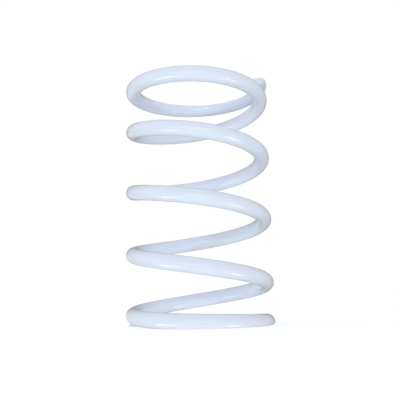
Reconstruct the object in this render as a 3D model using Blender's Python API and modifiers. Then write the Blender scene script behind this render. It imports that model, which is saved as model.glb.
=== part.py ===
# Shock spring: one left-hand coil of round spring wire, with both ends closed, ground flat and chamfered.
# Metres, +Z up. The spring stands on its lower ground end, and the origin is the centre of that end.

import math

import bmesh
import bpy

# Driving dimensions
inside_diameter = 0.060         # the clear bore, which goes over the damper's body
wire_diameter = 0.0076          # the round wire with its coat on
free_length = 0.126             # from ground end to ground end, with no load
total_turns = 5.575             # from the lower tip of the wire to the upper one
lower_tip_angle = 185           # degrees from +X to the lower tip, seen from above
winding = -1                    # -1 is a left-hand coil, +1 a right-hand one

# Closed ends: each end turn lies on its neighbour, and then the coil opens up smoothly
tip_gap = 0.0003                # between a tip and the turn that it lies on
lower_closed_turns = 1.04       # from the lower tip to the middle of the stretch that opens up
upper_closed_turns = 0.95
lower_opening_turns = 0.58      # how long that stretch is
upper_opening_turns = 0.70

# Ground ends
lower_tip_thickness = 0.0015    # what grinding leaves of the wire at each tip
upper_tip_thickness = 0.0042
end_chamfer = 0.0008            # on the outer and the inner edge of each ground face

# Smoothness of the solid
points_per_turn = 48
sides_of_wire = 16
grinder_segments = 96

wire_radius = wire_diameter / 2
mean_radius = (inside_diameter + wire_diameter) / 2
inner_radius = mean_radius - wire_radius
outer_radius = mean_radius + wire_radius


def new_collection(name):
    collection = bpy.data.collections.new(name)
    bpy.context.scene.collection.children.link(collection)
    return collection


def clear_scene():
    for old in list(bpy.data.objects):
        bpy.data.objects.remove(old, do_unlink=True)


def opened_turns(turns, closed_turns, opening_turns):
    """Turns, counted from a tip, that a coil of full pitch would need for the same opening up.

    The coil opens along a smooth step, 3u^2 - 2u^3, and this is the area under that step.
    """
    u = (turns - closed_turns) / opening_turns + 0.5
    if u <= 0:
        area = 0.0
    elif u < 1:
        area = u ** 3 - u ** 4 / 2
    else:
        area = u - 0.5
    return area * opening_turns


def end_share(closed_turns, opening_turns):
    """How many turns of closed pitch an end is worth, once its first turn must just clear the next."""
    return closed_turns / (1 - opened_turns(1, closed_turns, opening_turns))


def closed_pitch(pitch, closed_turns, opening_turns):
    """The pitch next to a tip, so that the tip clears the turn it lies on by the tip gap."""
    opened = opened_turns(1, closed_turns, opening_turns)
    return (wire_diameter + tip_gap - pitch * opened) / (1 - opened)


# The rise of the wire's centre from tip to tip fixes the pitch of the open coils between the ends
centre_rise = free_length + wire_diameter - lower_tip_thickness - upper_tip_thickness
lower_share = end_share(lower_closed_turns, lower_opening_turns)
upper_share = end_share(upper_closed_turns, upper_opening_turns)
active_turns = total_turns - lower_share - upper_share
active_pitch = (centre_rise - (wire_diameter + tip_gap) * (lower_share + upper_share)) / active_turns
lower_pitch = closed_pitch(active_pitch, lower_closed_turns, lower_opening_turns)
upper_pitch = closed_pitch(active_pitch, upper_closed_turns, upper_opening_turns)


def centre_height(turns):
    """Height of the wire's centre, so many turns up from the lower tip."""
    turns_left = total_turns - turns
    if turns < turns_left:
        opened = opened_turns(turns, lower_closed_turns, lower_opening_turns)
        tip_height = lower_tip_thickness - wire_radius
        return tip_height + lower_pitch * turns + (active_pitch - lower_pitch) * opened
    opened = opened_turns(turns_left, upper_closed_turns, upper_opening_turns)
    tip_height = free_length - upper_tip_thickness + wire_radius
    return tip_height - upper_pitch * turns_left - (active_pitch - upper_pitch) * opened


def centre_point(turns):
    """A point on the wire's centre line, so many turns up from the lower tip."""
    angle = math.radians(lower_tip_angle) + winding * 2 * math.pi * turns
    return (mean_radius * math.cos(angle), mean_radius * math.sin(angle), centre_height(turns))


def coiled_wire(collection):
    """The wire as it leaves the coiling machine: full and round to both tips, cut off square."""
    curve = bpy.data.curves.new("coiled_wire", "CURVE")
    curve.dimensions = "3D"
    curve.twist_mode = "Z_UP"
    curve.bevel_depth = wire_radius
    curve.bevel_resolution = sides_of_wire // 2 - 2
    curve.use_fill_caps = True
    steps = math.ceil(total_turns * points_per_turn)
    line = curve.splines.new("POLY")
    line.points.add(steps)
    for step, point in enumerate(line.points):
        point.co = (*centre_point(total_turns * step / steps), 1)
    wire = bpy.data.objects.new("coiled_wire", curve)
    collection.objects.link(wire)
    return wire


def mesh_from_curve(curve_object, name, collection):
    """A mesh object in the curve's place, with its two caps welded on, and the curve removed."""
    bpy.context.view_layer.update()
    evaluated = curve_object.evaluated_get(bpy.context.evaluated_depsgraph_get())
    mesh = bpy.data.meshes.new_from_object(evaluated)
    mesh.name = name
    welder = bmesh.new()
    welder.from_mesh(mesh)
    bmesh.ops.remove_doubles(welder, verts=welder.verts, dist=0.00001)
    bmesh.ops.recalc_face_normals(welder, faces=welder.faces)
    welder.to_mesh(mesh)
    welder.free()
    piece = bpy.data.objects.new(name, mesh)
    collection.objects.link(piece)
    piece.matrix_world = curve_object.matrix_world.copy()
    bpy.data.objects.remove(curve_object, do_unlink=True)
    return piece


def grinding_envelope(collection):
    """The turned space that grinding leaves: flat at both ends, with the chamfers at the edges.

    Between the ends its walls stand clear of the coil, by as much as the wire's radius.
    """
    outer_wall = outer_radius + wire_radius
    inner_wall = inner_radius - wire_radius
    slope = end_chamfer + wire_radius
    profile = [
        (outer_radius - end_chamfer, free_length),
        (outer_wall, free_length - slope),
        (outer_wall, slope),
        (outer_radius - end_chamfer, 0),
        (inner_radius + end_chamfer, 0),
        (inner_wall, slope),
        (inner_wall, free_length - slope),
        (inner_radius + end_chamfer, free_length),
    ]
    count = len(profile)
    mesh = bpy.data.meshes.new("grinding_envelope")
    mesh.from_pydata(
        [(radius, 0, height) for radius, height in profile],
        [(corner, (corner + 1) % count) for corner in range(count)],
        [],
    )
    envelope = bpy.data.objects.new("grinding_envelope", mesh)
    collection.objects.link(envelope)
    turn = envelope.modifiers.new("turn", "SCREW")
    turn.steps = grinder_segments
    turn.render_steps = grinder_segments
    turn.use_merge_vertices = True
    turn.merge_threshold = 0.00001
    envelope.hide_render = True
    envelope.display_type = "WIRE"
    return envelope


def powder_coat():
    """A gloss powder coat, white with a touch of blue."""
    material = bpy.data.materials.new("white_powder_coat")
    material.use_nodes = True
    shader = material.node_tree.nodes["Principled BSDF"]
    shader.inputs["Base Color"].default_value = (0.72, 0.81, 0.94, 1)
    shader.inputs["Roughness"].default_value = 0.15
    shader.inputs["Metallic"].default_value = 0
    return material


clear_scene()
parts = new_collection("shock_spring")
cutters = new_collection("cutters")

spring = mesh_from_curve(coiled_wire(parts), "coil_spring", parts)
spring.data.materials.clear()
spring.data.materials.append(powder_coat())

grind = spring.modifiers.new("grind_ends", "BOOLEAN")
grind.operation = "INTERSECT"
grind.solver = "EXACT"
grind.object = grinding_envelope(cutters)

spring.data.shade_smooth()
spring.data.set_sharp_from_angle(angle=math.radians(40))
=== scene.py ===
# %% [markdown]
# # A white shock spring
# This lesson dresses one part: the coil spring of a shock absorber, wound from round steel wire.
# Both its ends are closed, ground flat and chamfered, and all of it wears a gloss white powder coat.
# The packed model is loaded first. It fixes the sizes, and nothing here moves or resizes it.

# %% Load the frame
import math

import bmesh
import bpy
import numpy as np
from mathutils import Matrix, Vector


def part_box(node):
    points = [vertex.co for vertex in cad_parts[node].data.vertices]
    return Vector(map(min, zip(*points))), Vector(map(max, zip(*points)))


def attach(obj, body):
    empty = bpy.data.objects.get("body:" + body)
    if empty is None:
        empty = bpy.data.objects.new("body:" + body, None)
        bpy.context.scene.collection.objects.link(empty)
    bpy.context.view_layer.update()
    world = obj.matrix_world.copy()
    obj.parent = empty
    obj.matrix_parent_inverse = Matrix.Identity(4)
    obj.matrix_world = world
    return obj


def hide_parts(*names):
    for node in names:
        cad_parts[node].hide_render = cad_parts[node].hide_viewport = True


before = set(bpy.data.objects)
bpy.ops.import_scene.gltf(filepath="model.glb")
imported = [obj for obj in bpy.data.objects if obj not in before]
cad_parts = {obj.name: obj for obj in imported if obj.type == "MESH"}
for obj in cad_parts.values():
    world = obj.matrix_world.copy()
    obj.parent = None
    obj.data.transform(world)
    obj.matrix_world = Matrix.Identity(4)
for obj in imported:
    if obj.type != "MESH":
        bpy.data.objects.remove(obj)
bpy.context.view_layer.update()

# %% [markdown]
# ## The spring's measures
# The outer diameter and the free length come from the packed model.
# The rest are the maker's numbers for this spring: the wire, the number of turns, how the ends close,
# and how much of the wire is left at each tip once the ends are ground.

# %% Measures
low_corner, high_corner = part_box("coil_spring")
free_length = high_corner.z - low_corner.z
outer_diameter = high_corner.x - low_corner.x
wire_diameter = 0.0076
wire_radius = wire_diameter / 2
mean_radius = (outer_diameter - wire_diameter) / 2
total_turns = 5.575
lower_tip_angle = math.radians(185)
winding = -1                    # a left-hand coil
tip_gap = 0.0003                # between each tip and the turn that it lies on
lower_closed_turns = 1.04
upper_closed_turns = 0.95
lower_opening_turns = 0.58
upper_opening_turns = 0.70
lower_tip_thickness = 0.0015
upper_tip_thickness = 0.0042
end_chamfer = 0.0008
coat_edge = 0.0003              # the radius that the coat gives to every cut edge
print("free length", round(free_length * 1000, 2), "mm, wire", wire_diameter * 1000, "mm")

# %% [markdown]
# ## How the coil rises
# A coiling machine winds the end turns tight and then lets the pitch grow.
# The pitch grows along a smooth step, so the height is the area under that step.
# The pitch of the open coils isn't chosen: it is what makes the spring exactly its free length.


# %% The pitch law
def opened_turns(turns, closed_turns, opening_turns):
    """Turns of full pitch that give the same rise as the opening up so far."""
    u = (turns - closed_turns) / opening_turns + 0.5
    if u <= 0:
        return 0.0
    if u < 1:
        return (u ** 3 - u ** 4 / 2) * opening_turns
    return (u - 0.5) * opening_turns


class ClosedEnd:
    """One closed end of the coil, whose first turn just clears the next one."""

    def __init__(self, closed_turns, opening_turns):
        self.closed_turns = closed_turns
        self.opening_turns = opening_turns
        self.opened_in_first_turn = self.opened(1)
        # The end rises as if so many of its turns were closed and all the others fully open.
        self.turns_as_closed = closed_turns / (1 - self.opened_in_first_turn)

    def opened(self, turns):
        return opened_turns(turns, self.closed_turns, self.opening_turns)

    def tip_pitch(self, pitch):
        first_rise = wire_diameter + tip_gap
        return (first_rise - pitch * self.opened_in_first_turn) / (1 - self.opened_in_first_turn)


lower_end = ClosedEnd(lower_closed_turns, lower_opening_turns)
upper_end = ClosedEnd(upper_closed_turns, upper_opening_turns)
centre_rise = free_length + wire_diameter - lower_tip_thickness - upper_tip_thickness
turns_as_closed = lower_end.turns_as_closed + upper_end.turns_as_closed
closed_rise = (wire_diameter + tip_gap) * turns_as_closed
active_pitch = (centre_rise - closed_rise) / (total_turns - turns_as_closed)
print("open pitch", round(active_pitch * 1000, 2), "mm")


# %% The wire's centre line
def centre_height(turns):
    """Height of the wire's centre, so many turns up from the lower tip."""
    turns_left = total_turns - turns
    if turns < turns_left:
        pitch = lower_end.tip_pitch(active_pitch)
        start = lower_tip_thickness - wire_radius
        return start + pitch * turns + (active_pitch - pitch) * lower_end.opened(turns)
    pitch = upper_end.tip_pitch(active_pitch)
    start = free_length - upper_tip_thickness + wire_radius
    return start - pitch * turns_left - (active_pitch - pitch) * upper_end.opened(turns_left)


def wire_frame(turns):
    """The centre of the wire, and the outward, upward and forward directions of its section."""
    angle = lower_tip_angle + winding * 2 * math.pi * turns
    outward = Vector((math.cos(angle), math.sin(angle), 0))
    step = 0.001                # of a turn
    slope = (centre_height(turns + step) - centre_height(turns - step)) / (2 * step)
    along = Vector((-outward.y * winding, outward.x * winding, slope / (2 * math.pi * mean_radius)))
    forward = along.normalized()
    upward = forward.cross(outward) * -winding
    centre = outward * mean_radius + Vector((0, 0, centre_height(turns)))
    return centre, outward, upward, forward


for name, turns in (("lower tip", 0), ("middle", total_turns / 2), ("upper tip", total_turns)):
    print(name, "at", [round(value * 1000, 2) for value in wire_frame(turns)[0]], "mm")

# %% [markdown]
# ## The section of the ground wire
# Near each end the round wire is cut by the grinding wheel and by a 45 degree chamfer, and the powder
# coat then rounds every corner that they leave. A Boolean cut would give ragged edges that no bevel
# follows well. So the section is worked out instead: the outline is shrunk by the coat's edge radius,
# its corners are found, and a circle of that radius is rolled round it. Points along it lie closer
# where it turns faster, which gives each rounded corner enough of them.

# %% Outline of a section
sides_of_wire = 72
half_sides = sides_of_wire // 2
fine_steps = 361                # half a degree apart on the half circle
fine_angles = np.linspace(0, math.pi, fine_steps)
turning_share = 0.5             # how much of the spacing follows the turning, and not the length


def corners_of_section(height, lean):
    """The two corners of the shrunken section, on its right half: above and below the chamfer."""
    radius = wire_radius - coat_edge
    floor = -height / lean + coat_edge
    if floor <= -radius:
        return (0.0, -radius), (0.0, -radius)
    on_circle = math.sqrt(max(radius ** 2 - floor ** 2, 0))
    offset = height + wire_radius - end_chamfer - coat_edge * math.sqrt(1 + lean ** 2)
    on_chamfer = lean * floor + offset
    if on_chamfer >= on_circle:
        return (on_circle, floor), (on_circle, floor)
    square = 1 + lean ** 2
    root = (lean * offset) ** 2 - square * (offset ** 2 - radius ** 2)
    level = (math.sqrt(root) - lean * offset) / square
    return (lean * level + offset, level), (on_chamfer, floor)


def section_outline(height, lean):
    """Points and outward normals round the wire, whose centre is so high over a ground face.

    The lean is the cosine of the wire's slope: 1 where the wire runs level.
    """
    upper_corner, lower_corner = corners_of_section(height, lean)
    radius = wire_radius - coat_edge
    across, up = radius * np.sin(fine_angles), radius * np.cos(fine_angles)
    past_circle = up < upper_corner[1]
    past_chamfer = past_circle & (fine_angles > math.pi - math.atan2(1, lean))
    across = np.where(past_chamfer, lower_corner[0], np.where(past_circle, upper_corner[0], across))
    up = np.where(past_chamfer, lower_corner[1], np.where(past_circle, upper_corner[1], up))
    across = np.append(across + coat_edge * np.sin(fine_angles), 0)
    up = np.append(up + coat_edge * np.cos(fine_angles), lower_corner[1] - coat_edge)
    angles = np.append(fine_angles, math.pi)
    length = np.append(0, np.cumsum(np.hypot(np.diff(across), np.diff(up))))
    measure = (1 - turning_share) * length / length[-1] + turning_share * angles / math.pi
    places = np.linspace(0, 1, half_sides + 1)
    half = [np.interp(places, measure, values) for values in (across, up, angles)]
    across, up, angles = [np.concatenate([values, values[-2:0:-1]]) for values in half]
    side = np.where(np.arange(sides_of_wire) > half_sides, -1, 1)
    return np.stack([across * side, up, np.sin(angles) * side, np.cos(angles)], axis=1)


half_ground = section_outline(0, 1)
print("half-ground section:", round(np.ptp(half_ground[:, 0]) * 1000, 2), "mm wide,",
      round(np.ptp(half_ground[:, 1]) * 1000, 2), "mm high")


# %% Section at any place on the wire
def ground_section(turns):
    """The wire's section so many turns up, cut by whichever ground face is nearer."""
    centre, _, upward, _ = wire_frame(turns)
    is_upper = centre.z > free_length / 2
    height = free_length - centre.z if is_upper else centre.z
    outline = section_outline(height, upward.z)
    if is_upper:
        outline = np.roll(outline[::-1], 1 + half_sides, axis=0) * (1, -1, 1, -1)
    return outline


# %% [markdown]
# ## The wire, straight off the reel
# The wire starts as a straight bar that stands up: a cylinder, cut into short lengths, with the rim
# of each end bevelled as the coat rounds it. Coiling it afterwards is like the real work.
# It is easier than building a helix, because a straight bar is simple to select and bevel.

# %% A straight bar
turn_length = 2 * math.pi * mean_radius
bar_length = total_turns * turn_length
cuts_in_bar = 99
cuts_in_length = 8
rim_segments = 5


def edit(piece):
    """Opens a piece in edit mode, ready to pick edges, with nothing selected."""
    bpy.ops.object.select_all(action="DESELECT")
    bpy.context.view_layer.objects.active = piece
    piece.select_set(True)
    bpy.ops.object.mode_set(mode="EDIT")
    bpy.ops.mesh.select_mode(type="EDGE")
    bpy.ops.mesh.select_all(action="DESELECT")
    return bmesh.from_edit_mesh(piece.data)


def select_edges(piece, wanted):
    """Selects the edges whose two ends pass a test, and prints how many there are."""
    mesh = edit(piece)
    found = [edge for edge in mesh.edges if wanted(edge)]
    for edge in found:
        edge.select_set(True)
    bmesh.update_edit_mesh(piece.data)
    print(len(found), "edges selected")


bpy.ops.object.select_all(action="DESELECT")
bpy.ops.mesh.primitive_cylinder_add(vertices=sides_of_wire, radius=wire_radius, depth=bar_length)
spring = bpy.context.active_object
spring.name = "coated_coil"
spring.data.name = "coated_coil"

# %% Cut the bar into short lengths
for cuts in (cuts_in_bar, cuts_in_length):
    select_edges(spring, lambda edge: abs(edge.verts[0].co.z - edge.verts[1].co.z) > coat_edge)
    bpy.ops.mesh.subdivide(number_cuts=cuts)
    bpy.ops.object.mode_set(mode="OBJECT")
print(len(spring.data.vertices), "vertices in the bar")

# %% Round the rims of the two ends
rim_height = bar_length / 2 - coat_edge / 2
select_edges(spring, lambda edge: min(abs(vertex.co.z) for vertex in edge.verts) > rim_height)
bpy.ops.mesh.bevel(offset=coat_edge, segments=rim_segments, affect="EDGES")
bpy.ops.object.mode_set(mode="OBJECT")
print(len(spring.data.vertices), "vertices with the rims rounded")

# %% [markdown]
# ## Coiling and grinding
# Each point of the bar knows three things: how far along the wire it is, which side of the wire it is
# on, and how deep it lies under the surface. Coiling puts it at the same place in the section of the
# ground coil. The deep points are those of the rounded rims, so the rims follow the ground section.


# %% Coil the bar
def coil(piece):
    """Moves every point of the straight bar to its place in the ground coil."""
    sections = {}
    for vertex in piece.data.vertices:
        place = round((vertex.co.z / bar_length + 0.5) * total_turns, 5)
        if place not in sections:
            sections[place] = wire_frame(place), ground_section(place)
        (centre, outward, upward, _), outline = sections[place]
        side = round(math.atan2(vertex.co.x, vertex.co.y) / (2 * math.pi) * sides_of_wire)
        across, up, normal_across, normal_up = outline[side % sides_of_wire]
        depth = wire_radius - math.hypot(vertex.co.x, vertex.co.y)
        across -= depth * normal_across
        up -= depth * normal_up
        vertex.co = centre + outward * across + upward * up
    return len(sections)


print(coil(spring), "sections along the wire")

# %% Close and smooth the coil
edit(spring)
bpy.ops.mesh.select_all(action="SELECT")
bpy.ops.mesh.normals_make_consistent(inside=False)
bpy.ops.object.mode_set(mode="OBJECT")
bpy.ops.object.shade_smooth()
shell = bmesh.new()
shell.from_mesh(spring.data)
open_edges = sum(not edge.is_manifold for edge in shell.edges)
print("steel and coat", round(shell.calc_volume() * 1e6, 2), "cm3,", open_edges, "open edges,",
      sum(len(face.verts) - 2 for face in shell.faces), "triangles")
shell.free()

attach(spring, "root")
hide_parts("coil_spring")

# %% [markdown]
# ## Shader sums in Python
# A material here is written as sums on values. One small class holds a socket of the node tree, and
# an expression such as `0.5 * grain + 0.1` adds the Math nodes for it.


# %% A socket that can do sums
class Value:
    """One output of a node. The operators add Math nodes, and node() adds any other kind."""

    def __init__(self, tree, socket):
        self.tree = tree
        self.socket = socket

    def node(self, kind, settings, inputs, output=0):
        """Adds a node, with its settings first, and returns one of its outputs."""
        made = self.tree.nodes.new(kind)
        for name, setting in settings.items():
            setattr(made, name, setting)
        for key, given in inputs.items():
            if isinstance(given, Value):
                self.tree.links.new(given.socket, made.inputs[key])
            else:
                made.inputs[key].default_value = given
        return Value(self.tree, made.outputs[output])

    def math(self, operation, first, second):
        return self.node("ShaderNodeMath", {"operation": operation}, {0: first, 1: second})

    def mix(self, first, second):
        """The first colour where this value is 0, and the second where it is 1."""
        return self.node("ShaderNodeMix", {"data_type": "RGBA"}, {0: self, 6: first, 7: second}, 2)

    def __add__(self, other):
        return self.math("ADD", self, other)

    def __radd__(self, other):
        return self.math("ADD", other, self)

    def __sub__(self, other):
        return self.math("SUBTRACT", self, other)

    def __rsub__(self, other):
        return self.math("SUBTRACT", other, self)

    def __mul__(self, other):
        return self.math("MULTIPLY", self, other)

    def __rmul__(self, other):
        return self.math("MULTIPLY", other, self)


print("operators:", [name for name in vars(Value) if name.startswith("__") and name != "__init__"])

# %% [markdown]
# ## The powder coat
# The coat is a baked plastic film, white with a touch of blue. Under a lens it isn't flat: it has
# the fine swell that painters call orange peel, about a millimetre across and a few thousandths deep,
# and its tone drifts a little where it lies thicker. On the two ground faces the marks of the wheel
# show through it faintly. All of this reads the object's own coordinates, in metres.

# %% Coat values
coat_colour = (0.70, 0.80, 0.93, 1)
thick_coat_colour = (0.735, 0.805, 0.945, 1)
coat_roughness = 0.10
roughness_spread = 0.04
peel_scale = 850                # swells to the metre
peel_depth = 0.000006
grain_scale = 1700
drift_scale = 45
wheel_mark_scale = 1400
wheel_mark_stretch = 0.06       # a mark is this much of its own length wide
wheel_mark_depth = 0.000003
ground_face_margin = 0.00004


# %% The coat's material
def begin(name):
    """A new material, its shader, and a value to start sums from: the object's coordinates."""
    material = bpy.data.materials.new(name)
    material.use_nodes = True
    tree = material.node_tree
    start = tree.nodes.new("ShaderNodeTexCoord")
    return material, tree.nodes["Principled BSDF"], Value(tree, start.outputs["Object"])


def noise(where, scale, detail=2.0):
    return where.node("ShaderNodeTexNoise", {}, {"Vector": where, "Scale": scale, "Detail": detail})


def on_ground_faces(where):
    """1 on the two ground faces and 0 elsewhere."""
    height = where.node("ShaderNodeSeparateXYZ", {}, {0: where}, "Z")
    from_middle = height.math("ABSOLUTE", height - free_length / 2, 0)
    return from_middle.math("GREATER_THAN", from_middle, free_length / 2 - ground_face_margin)


def powder_coat():
    material, shader, where = begin("white_powder_coat")
    colour = noise(where, drift_scale).mix(coat_colour, thick_coat_colour)
    roughness = (noise(where, grain_scale) - 0.5) * roughness_spread + coat_roughness
    stretched = where.node("ShaderNodeMapping", {}, {"Vector": where, "Scale": (1, wheel_mark_stretch, 1)})
    marks = noise(stretched, wheel_mark_scale) * on_ground_faces(where)
    swell = noise(where, peel_scale) * peel_depth + marks * wheel_mark_depth
    bump = where.node("ShaderNodeBump", {}, {"Height": swell, "Distance": 1.0, "Strength": 1.0})
    for name, value in (("Base Color", colour), ("Roughness", roughness), ("Normal", bump)):
        where.tree.links.new(value.socket, shader.inputs[name])
    return material


spring.data.materials.clear()
spring.data.materials.append(powder_coat())
print("coat:", len(spring.data.materials[0].node_tree.nodes), "nodes")

# %% [markdown]
# ## The studio
# The photograph shows the spring alone on white. Three bright streaks on every coil tell where its
# lamps stood: low on the left, low on the right, and near the camera. The round wire mirrors each lamp
# at one place, so the streak's place on the wire gives the lamp's direction. These three lamps are only
# a few degrees high, so that the far coils can mirror them too, through the gaps between the near ones.
# The rest of the light is broad. The world gives an even, slightly warm light, and five wide windows
# shape it from the front, the sides and the back. They are kept out of reflections and leave no streak.
# A lamp's level is how bright it alone would make a white card that faces it.

# %% World
ambient = (0.65, 0.61, 0.565, 1)
white = (1, 1, 1, 1)


def rays_that_see_white(tree):
    """1 for rays from the camera, and for those that a gloss or a glass sends on."""
    rays = tree.nodes.new("ShaderNodeLightPath").outputs
    camera_ray = Value(tree, rays["Is Camera Ray"])
    glossy_ray = Value(tree, rays["Is Glossy Ray"])
    glass_ray = Value(tree, rays["Is Transmission Ray"])
    return camera_ray.math("MAXIMUM", camera_ray.math("MAXIMUM", camera_ray, glossy_ray), glass_ray)


world = bpy.data.worlds.new("white_room")
bpy.context.scene.world = world
world.use_nodes = True
background = world.node_tree.nodes["Background"]
sky = rays_that_see_white(world.node_tree).mix(ambient, white)
world.node_tree.links.new(sky.socket, background.inputs["Color"])
print("world ready, ambient", ambient[:3])

# %% Lamps
aim = Vector((0, 0, free_length / 2))
lamp_distance = 0.9
daylight = (0.93, 1.0, 1.06)


def soft_lamp(name, azimuth, elevation, width, height, level, colour, distance=lamp_distance):
    """A soft lamp that faces the spring's middle. Azimuth 0 is the camera's side, and 90 the right.

    Its width and height are in degrees, as the spring sees it.
    """
    bpy.ops.object.select_all(action="DESELECT")
    bpy.ops.object.light_add(type="AREA")
    lamp = bpy.context.active_object
    lamp.name = name
    lamp.data.shape = "ELLIPSE"
    lamp.data.size = 2 * distance * math.tan(math.radians(width / 2))
    lamp.data.size_y = 2 * distance * math.tan(math.radians(height / 2))
    lamp.data.energy = level * (math.pi * distance) ** 2
    lamp.data.color = colour
    turn, rise = math.radians(azimuth), math.radians(elevation)
    flat = math.cos(rise)
    direction = Vector((math.sin(turn) * flat, -math.cos(turn) * flat, math.sin(rise)))
    lamp.location = aim + direction * distance
    lamp.rotation_mode = "QUATERNION"
    lamp.rotation_quaternion = direction.to_track_quat("Z", "Y")
    print(name, [round(value, 3) for value in lamp.location])
    return lamp


soft_lamp("left_lamp", -63, -43, 34, 9, 0.20, daylight)
soft_lamp("right_lamp", 57, -42, 28, 7, 0.15, daylight)
soft_lamp("camera_lamp", -1, 8, 42, 4, 0.16, daylight)

# %% [markdown]
# ## Two weaker lights
# A small lamp, low to the right of the camera, makes the short pinkish glint between the streaks of the
# camera lamp and the right lamp. A dim reflector, low behind the spring on the left, brightens the outer
# edges of the coils there.

# %% Glint and reflector
soft_lamp("small_lamp", 48, -17, 7, 7, 0.03, (1.0, 0.8, 0.8))
soft_lamp("left_reflector", -146, -16, 34, 44, 0.05, (0.93, 1.0, 1.0))

# %% Windows
window_distance = 1.2
window_size = 60                # degrees across, as the spring sees it
for name, azimuth, elevation, level, colour in (
        ("front_window", 0, 15, 0.135, (0.6, 1.0, 1.38)),
        ("left_window", -90, 10, 0.15, (0.98, 0.96, 1.0)),
        ("high_left_window", -90, 50, 0.11, (1.0, 0.93, 1.05)),
        ("high_right_window", 90, 50, 0.08, (1.05, 0.8, 0.95)),
        ("back_window", 180, 10, 0.12, (0.8, 0.95, 1.15))):
    window = soft_lamp(name, azimuth, elevation, window_size, window_size, level, colour, window_distance)
    window.visible_glossy = False

# %% [markdown]
# ## A tent with grey walls
# White on white has no outline of its own. So the spring stands in a round tent whose roof and floor
# are white and whose walls are a warm grey, darkest behind the spring. The edge of each wire mirrors the
# wall as a thin darker line. Only reflections see the tent: the camera looks through it at the world.

# %% Grey tent
tent_radius = 1.5
tent_segments = 48
wall_colour = (1.0, 0.82, 0.60, 1)
side_depth = 0.62               # how much darker than the white roof the walls are beside the spring
rear_depth = 0.11               # and how much darker again behind it, and lighter before it
roof_power = 4                  # the higher it is, the higher up the walls stay grey
bpy.ops.object.select_all(action="DESELECT")
bpy.ops.mesh.primitive_uv_sphere_add(
    segments=tent_segments, ring_count=tent_segments // 2, radius=tent_radius, location=aim)
tent = bpy.context.active_object
tent.name = "tent"
tent.visible_camera = False
tent.visible_diffuse = False
tent.visible_shadow = False
tent_material, tent_shader, tent_place = begin("grey_tent")


def share_along(axis):
    """How far along one axis the tent's wall is, as a share of its radius."""
    return tent_place.node("ShaderNodeSeparateXYZ", {}, {0: tent_place}, axis) * (1 / tent_radius)


from_middle = tent_place.math("ABSOLUTE", share_along("Z"), 0)
walls = 1 - from_middle.math("POWER", from_middle, roof_power)
glow = 1 - walls * (side_depth + rear_depth * share_along("Y"))
tone = walls.mix(white, wall_colour)
tent_shader.inputs["Base Color"].default_value = (0, 0, 0, 1)
tent_shader.inputs["Specular IOR Level"].default_value = 0
walls.tree.links.new(tone.socket, tent_shader.inputs["Emission Color"])
walls.tree.links.new(glow.socket, tent_shader.inputs["Emission Strength"])
tent.data.materials.append(tent_material)
print("tent", tent_radius, "m in radius")

# %% [markdown]
# ## The floor
# The floor is a plain pale disc. It glows a little: with the room's light on it, it is then as white as
# the world behind it, and the coil's soft shadow still shows. It casts no shadow, and neither bounced
# light nor reflections see it.

# %% Floor
floor_radius = 0.35
floor_sides = 96
floor_shade = (0.8, 0.8, 0.8, 1)
floor_glow = 0.34
floor_tone = (1.0, 1.10, 1.14, 1)       # a little blue, because the room's light is warm
bpy.ops.object.select_all(action="DESELECT")
bpy.ops.mesh.primitive_circle_add(vertices=floor_sides, radius=floor_radius, fill_type="NGON")
floor = bpy.context.active_object
floor.name = "floor"
floor.visible_diffuse = False
floor.visible_glossy = False
floor.visible_shadow = False
floor_material, floor_shader, _ = begin("pale_floor")
floor_shader.inputs["Base Color"].default_value = floor_shade
floor_shader.inputs["Roughness"].default_value = 1
floor_shader.inputs["Specular IOR Level"].default_value = 0
floor_shader.inputs["Emission Color"].default_value = floor_tone
floor_shader.inputs["Emission Strength"].default_value = floor_glow
floor.data.materials.append(floor_material)
print("floor", floor_radius, "m in radius")

# %% [markdown]
# ## The camera
# The camera's place, turn and lens were found by laying the coil's outline over the photograph's.
# It stands 30 cm from the axis, low down, and looks up by nine degrees.

# %% Camera
photo_size = 400
focal_pixels = 582.1
sensor_width = 36               # millimetres
nearest_seen = 0.01             # metres
camera_place = Vector((0, -0.30169, 0.016045))
camera_tilt = math.radians(9.086)
camera_turn = math.radians(0.167)
camera_roll = -0.0193           # radians
camera_data = bpy.data.cameras.new("camera")
camera_data.sensor_width = sensor_width
camera_data.lens = focal_pixels / photo_size * sensor_width
camera_data.clip_start = nearest_seen
camera = bpy.data.objects.new("camera", camera_data)
bpy.context.scene.collection.objects.link(camera)
ahead = Vector((math.sin(camera_turn), math.cos(camera_turn), 0))
look = math.cos(camera_tilt) * ahead + Vector((0, 0, math.sin(camera_tilt)))
level_right = Vector((math.cos(camera_turn), -math.sin(camera_turn), 0))
level_up = level_right.cross(look)
right = math.cos(camera_roll) * level_right + math.sin(camera_roll) * level_up
up = math.cos(camera_roll) * level_up - math.sin(camera_roll) * level_right
turned = Matrix((right, up, -look)).transposed().to_4x4()
camera.matrix_world = Matrix.Translation(camera_place) @ turned
bpy.context.scene.camera = camera
bpy.context.scene.view_settings.view_transform = "Standard"
print("lens", round(camera_data.lens, 2), "mm")
